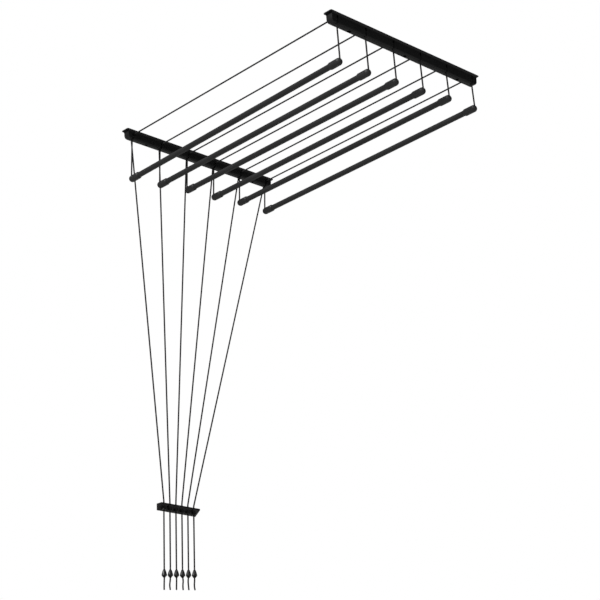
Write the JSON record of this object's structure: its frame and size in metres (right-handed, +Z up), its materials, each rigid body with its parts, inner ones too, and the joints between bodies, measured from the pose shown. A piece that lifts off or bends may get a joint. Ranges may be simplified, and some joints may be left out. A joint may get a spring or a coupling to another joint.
{
  "type": "ceiling mounted pulley rack",
  "caption": "Ceiling clothes airer: hanging rods raised on cords that run over pulleys in two ceiling rails, through a wall bracket, to bell-shaped pulls.",
  "frame": {"origin": "centre of the pull rail's ceiling face, in the plane of the ceiling", "axes": "+Z up out of the ceiling face, +X along the rods from the pull rail to the far rail, +Y along the rails"},
  "size_m": [0.9249, 0.523, 1.2012],
  "materials": {
    "rail_plastic": "black moulded plastic, low sheen",
    "plate_steel": "black painted sheet steel",
    "axle_steel": "bright turned steel pin",
    "pulley_plastic": "dark acetal",
    "bracket_plastic": "black moulded plastic",
    "guide_plastic": "dark acetal",
    "rod_paint": "charcoal powder coat, satin",
    "cap_plastic": "charcoal moulded plastic",
    "bell_plastic": "black moulded plastic",
    "cord_braid": "black braided polyester"
  },
  "bodies": {
    "root": {"pull_rail_housing": "rail_plastic", "far_rail_housing": "rail_plastic", "pull_rail_back_plate": "plate_steel", "far_rail_back_plate": "plate_steel", "pull_rail_axles": "axle_steel", "far_rail_axles": "axle_steel", "cord_anchor_knots": "cord_braid", "wall_bracket_body": "bracket_plastic", "wall_bracket_cord_guides": "guide_plastic", "ceiling_cord_1": "cord_braid", "ceiling_cord_2": "cord_braid", "ceiling_cord_3": "cord_braid", "ceiling_cord_4": "cord_braid", "ceiling_cord_5": "cord_braid", "ceiling_cord_6": "cord_braid"},
    "rod_1": {"rod_1_tube": "rod_paint", "rod_1_end_caps": "cap_plastic", "rod_1_cord": "cord_braid"},
    "bell_1": {"bell_1": "bell_plastic", "pull_cord_1": "cord_braid"},
    "far_pulley_1": {"far_pulley_1": "pulley_plastic"},
    "pull_pulley_1": {"pull_pulley_1": "pulley_plastic"},
    "rod_2": {"rod_2_tube": "rod_paint", "rod_2_end_caps": "cap_plastic", "rod_2_cord": "cord_braid"},
    "bell_2": {"bell_2": "bell_plastic", "pull_cord_2": "cord_braid"},
    "far_pulley_2": {"far_pulley_2": "pulley_plastic"},
    "pull_pulley_2": {"pull_pulley_2": "pulley_plastic"},
    "rod_3": {"rod_3_tube": "rod_paint", "rod_3_end_caps": "cap_plastic", "rod_3_cord": "cord_braid"},
    "bell_3": {"bell_3": "bell_plastic", "pull_cord_3": "cord_braid"},
    "far_pulley_3": {"far_pulley_3": "pulley_plastic"},
    "pull_pulley_3": {"pull_pulley_3": "pulley_plastic"},
    "rod_4": {"rod_4_tube": "rod_paint", "rod_4_end_caps": "cap_plastic", "rod_4_cord": "cord_braid"},
    "bell_4": {"bell_4": "bell_plastic", "pull_cord_4": "cord_braid"},
    "far_pulley_4": {"far_pulley_4": "pulley_plastic"},
    "pull_pulley_4": {"pull_pulley_4": "pulley_plastic"},
    "rod_5": {"rod_5_tube": "rod_paint", "rod_5_end_caps": "cap_plastic", "rod_5_cord": "cord_braid"},
    "bell_5": {"bell_5": "bell_plastic", "pull_cord_5": "cord_braid"},
    "far_pulley_5": {"far_pulley_5": "pulley_plastic"},
    "pull_pulley_5": {"pull_pulley_5": "pulley_plastic"},
    "rod_6": {"rod_6_tube": "rod_paint", "rod_6_end_caps": "cap_plastic", "rod_6_cord": "cord_braid"},
    "bell_6": {"bell_6": "bell_plastic", "pull_cord_6": "cord_braid"},
    "far_pulley_6": {"far_pulley_6": "pulley_plastic"},
    "pull_pulley_6": {"pull_pulley_6": "pulley_plastic"}
  },
  "joints": [
    {"name": "rod_1_lift", "type": "slide", "parent": "root", "child": "rod_1", "axis": [0, 0, 1], "range_m": [-0.077, 0.075], "deforming": ["rod_1_cord"]},
    {"name": "bell_1_pull", "type": "slide", "parent": "root", "child": "bell_1", "axis": [0, 0, 1], "range_m": [-0.151, 0.155], "deforming": ["pull_cord_1"]},
    {"name": "far_pulley_1_spin", "type": "hinge", "parent": "root", "child": "far_pulley_1", "pos_m": [0.79, -0.2375, -0.015], "axis": [0, 1, 0], "range_deg": [-1437.4, 1475.6]},
    {"name": "pull_pulley_1_spin", "type": "hinge", "parent": "root", "child": "pull_pulley_1", "pos_m": [0, -0.2345, -0.015], "axis": [0, 1, 0], "range_deg": [-1437.4, 1475.6]},
    {"name": "rod_2_lift", "type": "slide", "parent": "root", "child": "rod_2", "axis": [0, 0, 1], "range_m": [-0.076, 0.0655], "deforming": ["rod_2_cord"]},
    {"name": "bell_2_pull", "type": "slide", "parent": "root", "child": "bell_2", "axis": [0, 0, 1], "range_m": [-0.132, 0.153], "deforming": ["pull_cord_2"]},
    {"name": "far_pulley_2_spin", "type": "hinge", "parent": "root", "child": "far_pulley_2", "pos_m": [0.79, -0.1425, -0.015], "axis": [0, 1, 0], "range_deg": [-1256, 1456.5]},
    {"name": "pull_pulley_2_spin", "type": "hinge", "parent": "root", "child": "pull_pulley_2", "pos_m": [0, -0.1395, -0.015], "axis": [0, 1, 0], "range_deg": [-1256, 1456.5]},
    {"name": "rod_3_lift", "type": "slide", "parent": "root", "child": "rod_3", "axis": [0, 0, 1], "range_m": [-0.075, 0.054], "deforming": ["rod_3_cord"]},
    {"name": "bell_3_pull", "type": "slide", "parent": "root", "child": "bell_3", "axis": [0, 0, 1], "range_m": [-0.109, 0.151], "deforming": ["pull_cord_3"]},
    {"name": "far_pulley_3_spin", "type": "hinge", "parent": "root", "child": "far_pulley_3", "pos_m": [0.79, -0.0475, -0.015], "axis": [0, 1, 0], "range_deg": [-1036.3, 1437.4]},
    {"name": "pull_pulley_3_spin", "type": "hinge", "parent": "root", "child": "pull_pulley_3", "pos_m": [0, -0.0445, -0.015], "axis": [0, 1, 0], "range_deg": [-1036.3, 1437.4]},
    {"name": "rod_4_lift", "type": "slide", "parent": "root", "child": "rod_4", "axis": [0, 0, 1], "range_m": [-0.074, 0.0485], "deforming": ["rod_4_cord"]},
    {"name": "bell_4_pull", "type": "slide", "parent": "root", "child": "bell_4", "axis": [0, 0, 1], "range_m": [-0.098, 0.149], "deforming": ["pull_cord_4"]},
    {"name": "far_pulley_4_spin", "type": "hinge", "parent": "root", "child": "far_pulley_4", "pos_m": [0.79, 0.0475, -0.015], "axis": [0, 1, 0], "range_deg": [-931.3, 1418.3]},
    {"name": "pull_pulley_4_spin", "type": "hinge", "parent": "root", "child": "pull_pulley_4", "pos_m": [0, 0.0505, -0.015], "axis": [0, 1, 0], "range_deg": [-931.3, 1418.3]},
    {"name": "rod_5_lift", "type": "slide", "parent": "root", "child": "rod_5", "axis": [0, 0, 1], "range_m": [-0.073, 0.0385], "deforming": ["rod_5_cord"]},
    {"name": "bell_5_pull", "type": "slide", "parent": "root", "child": "bell_5", "axis": [0, 0, 1], "range_m": [-0.078, 0.147], "deforming": ["pull_cord_5"]},
    {"name": "far_pulley_5_spin", "type": "hinge", "parent": "root", "child": "far_pulley_5", "pos_m": [0.79, 0.1425, -0.015], "axis": [0, 1, 0], "range_deg": [-740.3, 1399.2]},
    {"name": "pull_pulley_5_spin", "type": "hinge", "parent": "root", "child": "pull_pulley_5", "pos_m": [0, 0.1455, -0.015], "axis": [0, 1, 0], "range_deg": [-740.3, 1399.2]},
    {"name": "rod_6_lift", "type": "slide", "parent": "root", "child": "rod_6", "axis": [0, 0, 1], "range_m": [-0.072, 0.038], "deforming": ["rod_6_cord"]},
    {"name": "bell_6_pull", "type": "slide", "parent": "root", "child": "bell_6", "axis": [0, 0, 1], "range_m": [-0.077, 0.145], "deforming": ["pull_cord_6"]},
    {"name": "far_pulley_6_spin", "type": "hinge", "parent": "root", "child": "far_pulley_6", "pos_m": [0.79, 0.2375, -0.015], "axis": [0, 1, 0], "range_deg": [-730.7, 1380.1]},
    {"name": "pull_pulley_6_spin", "type": "hinge", "parent": "root", "child": "pull_pulley_6", "pos_m": [0, 0.2405, -0.015], "axis": [0, 1, 0], "range_deg": [-730.7, 1380.1]}
  ],
  "couplings": [
    {"joint": "bell_1_pull", "follows": "rod_1_lift", "ratio": -2},
    {"joint": "far_pulley_1_spin", "follows": "rod_1_lift", "rad_per_m": -333.33},
    {"joint": "pull_pulley_1_spin", "follows": "rod_1_lift", "rad_per_m": -333.33},
    {"joint": "bell_2_pull", "follows": "rod_2_lift", "ratio": -2},
    {"joint": "far_pulley_2_spin", "follows": "rod_2_lift", "rad_per_m": -333.33},
    {"joint": "pull_pulley_2_spin", "follows": "rod_2_lift", "rad_per_m": -333.33},
    {"joint": "bell_3_pull", "follows": "rod_3_lift", "ratio": -2},
    {"joint": "far_pulley_3_spin", "follows": "rod_3_lift", "rad_per_m": -333.33},
    {"joint": "pull_pulley_3_spin", "follows": "rod_3_lift", "rad_per_m": -333.33},
    {"joint": "bell_4_pull", "follows": "rod_4_lift", "ratio": -2},
    {"joint": "far_pulley_4_spin", "follows": "rod_4_lift", "rad_per_m": -333.33},
    {"joint": "pull_pulley_4_spin", "follows": "rod_4_lift", "rad_per_m": -333.33},
    {"joint": "bell_5_pull", "follows": "rod_5_lift", "ratio": -2},
    {"joint": "far_pulley_5_spin", "follows": "rod_5_lift", "rad_per_m": -333.33},
    {"joint": "pull_pulley_5_spin", "follows": "rod_5_lift", "rad_per_m": -333.33},
    {"joint": "bell_6_pull", "follows": "rod_6_lift", "ratio": -2},
    {"joint": "far_pulley_6_spin", "follows": "rod_6_lift", "rad_per_m": -333.33},
    {"joint": "pull_pulley_6_spin", "follows": "rod_6_lift", "rad_per_m": -333.33}
  ]
}
